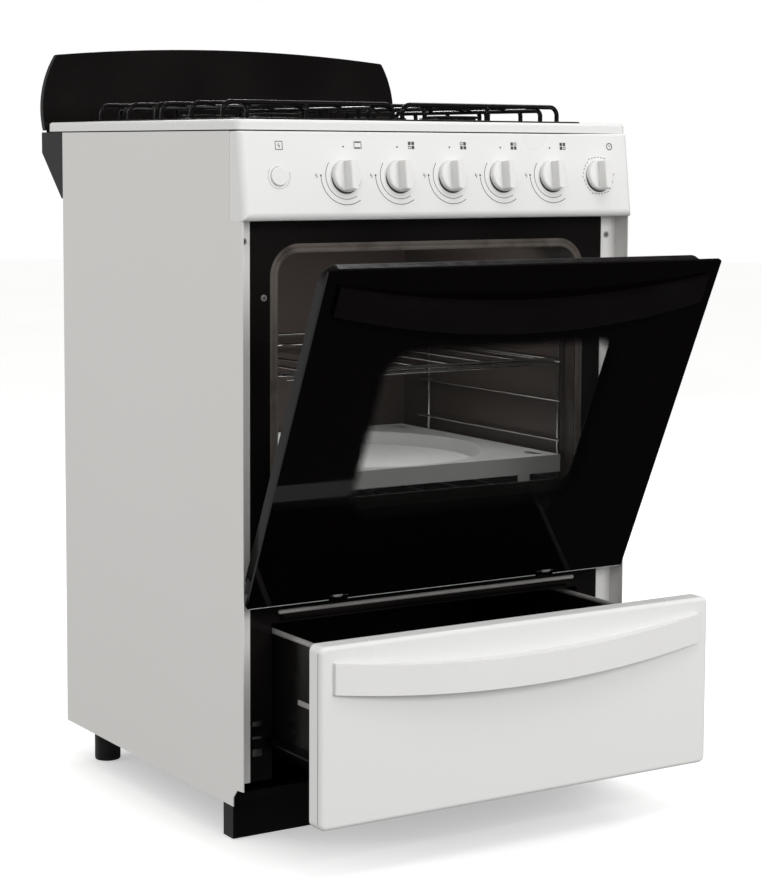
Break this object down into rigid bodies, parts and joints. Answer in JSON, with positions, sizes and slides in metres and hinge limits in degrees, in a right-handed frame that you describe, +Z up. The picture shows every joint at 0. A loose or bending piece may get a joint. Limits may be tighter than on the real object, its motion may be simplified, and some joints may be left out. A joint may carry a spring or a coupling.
{
  "type": "freestanding gas range",
  "caption": "Freestanding gas range: burners under wire pan supports, drop-down glazed oven door, storage drawer, splash panel, gas knobs and timer, push-button ignition.",
  "frame": {"origin": "on the floor, at the middle of the plinth's front lower edge", "axes": "+Z up; the door, drawer and knobs face -Y; +X is to the right of a person who faces the front"},
  "size_m": [0.56, 0.7537, 0.9504],
  "materials": {
    "white_enamel": "gloss",
    "white_gloss": "gloss",
    "white_plastic": "gloss",
    "galvanised": "satin",
    "black_enamel": "gloss",
    "oven_enamel": "gloss",
    "black_plastic": "satin",
    "mineral_wool": "matte",
    "plain_steel": "satin",
    "seal_grey": "matte",
    "chrome_wire": "polished",
    "burner_aluminium": "satin",
    "ceramic": "gloss",
    "brass": "satin",
    "black_glass": "gloss",
    "clear_glass": "gloss"
  },
  "bodies": {
    "cabinet": {"back_panel": "galvanised", "backsplash": "black_enamel", "base_pan": "black_enamel", "burner_base_front_left": "burner_aluminium", "burner_base_front_right": "burner_aluminium", "burner_base_rear_left": "burner_aluminium", "burner_base_rear_right": "burner_aluminium", "burner_cap_front_left": "black_enamel", "burner_cap_front_right": "black_enamel", "burner_cap_rear_left": "black_enamel", "burner_cap_rear_right": "black_enamel", "burner_igniters": "ceramic", "cabinet_screws": "galvanised", "control_panel": "white_gloss", "cooktop": "black_enamel", "drawer_rails": "black_enamel", "flue_duct": "plain_steel", "front_frame": "black_enamel", "gas_manifold": "plain_steel", "gas_taps": "brass", "hinge_brackets": "galvanised", "hob_top": "white_enamel", "ignition_switch": "black_plastic", "oven_burner": "plain_steel", "oven_cavity": "oven_enamel", "oven_floor_plate": "oven_enamel", "oven_insulation": "mineral_wool", "oven_rack": "chrome_wire", "oven_seal": "seal_grey", "plinth": "black_enamel", "rack_supports": "chrome_wire", "rear_feet": "black_plastic", "rear_vent_cover": "black_enamel", "side_panel_left": "white_enamel", "side_panel_right": "white_enamel", "spark_module": "black_plastic", "timer_housing": "black_plastic"},
    "oven_door": {"door_frame": "black_enamel", "door_glass": "black_glass", "door_glass_clips": "chrome_wire", "door_handle": "black_plastic", "door_hinge_pins": "plain_steel", "door_inner_glass": "clear_glass"},
    "drawer": {"drawer_front": "white_enamel", "drawer_handle": "white_plastic", "drawer_box": "black_enamel"},
    "pan_support_left": {"pan_support_left": "black_enamel"},
    "pan_support_right": {"pan_support_right": "black_enamel"},
    "timer_knob": {"timer_knob": "white_plastic"},
    "ignition_button": {"ignition_button": "white_plastic"},
    "oven_knob": {"oven_knob": "white_plastic", "oven_stem": "brass"},
    "burner_1_knob": {"burner_1_knob": "white_plastic", "burner_1_stem": "brass"},
    "burner_2_knob": {"burner_2_knob": "white_plastic", "burner_2_stem": "brass"},
    "burner_3_knob": {"burner_3_knob": "white_plastic", "burner_3_stem": "brass"},
    "burner_4_knob": {"burner_4_knob": "white_plastic", "burner_4_stem": "brass"}
  },
  "joints": [
    {"name": "door_hinge", "type": "hinge", "parent": "cabinet", "child": "oven_door", "pos_m": [0, -0.031, 0.293], "axis": [1, 0, 0], "range_deg": [-24.75, 65.25]},
    {"name": "drawer_slide", "type": "slide", "parent": "cabinet", "child": "drawer", "axis": [0, -1, 0], "range_m": [-0.167, 0.133]},
    {"name": "oven_knob_turn", "type": "hinge", "parent": "cabinet", "child": "oven_knob", "pos_m": [-0.142, -0.03933, 0.782], "axis": [0, -0.9913, 0.1315], "range_deg": [0, 210]},
    {"name": "burner_1_knob_turn", "type": "hinge", "parent": "cabinet", "child": "burner_1_knob", "pos_m": [-0.0673, -0.03933, 0.782], "axis": [0, -0.9913, 0.1315], "range_deg": [0, 210]},
    {"name": "burner_2_knob_turn", "type": "hinge", "parent": "cabinet", "child": "burner_2_knob", "pos_m": [0.0074, -0.03933, 0.782], "axis": [0, -0.9913, 0.1315], "range_deg": [0, 210]},
    {"name": "burner_3_knob_turn", "type": "hinge", "parent": "cabinet", "child": "burner_3_knob", "pos_m": [0.0821, -0.03933, 0.782], "axis": [0, -0.9913, 0.1315], "range_deg": [0, 210]},
    {"name": "burner_4_knob_turn", "type": "hinge", "parent": "cabinet", "child": "burner_4_knob", "pos_m": [0.1568, -0.03933, 0.782], "axis": [0, -0.9913, 0.1315], "range_deg": [0, 210]},
    {"name": "timer_knob_turn", "type": "hinge", "parent": "cabinet", "child": "timer_knob", "pos_m": [0.229, -0.03933, 0.782], "axis": [0, -0.9913, 0.1315], "range_deg": [-300, 0]},
    {"name": "ignition_button_push", "type": "slide", "parent": "cabinet", "child": "ignition_button", "axis": [0, 0.9913, -0.1315], "range_m": [0, 0.003], "stiffness_N_per_m": 200},
    {"name": "pan_support_left_lift", "type": "slide", "parent": "cabinet", "child": "pan_support_left", "axis": [0, 0, 1], "range_m": [0, 0.04]},
    {"name": "pan_support_right_lift", "type": "slide", "parent": "cabinet", "child": "pan_support_right", "axis": [0, 0, 1], "range_m": [0, 0.04]}
  ]
}
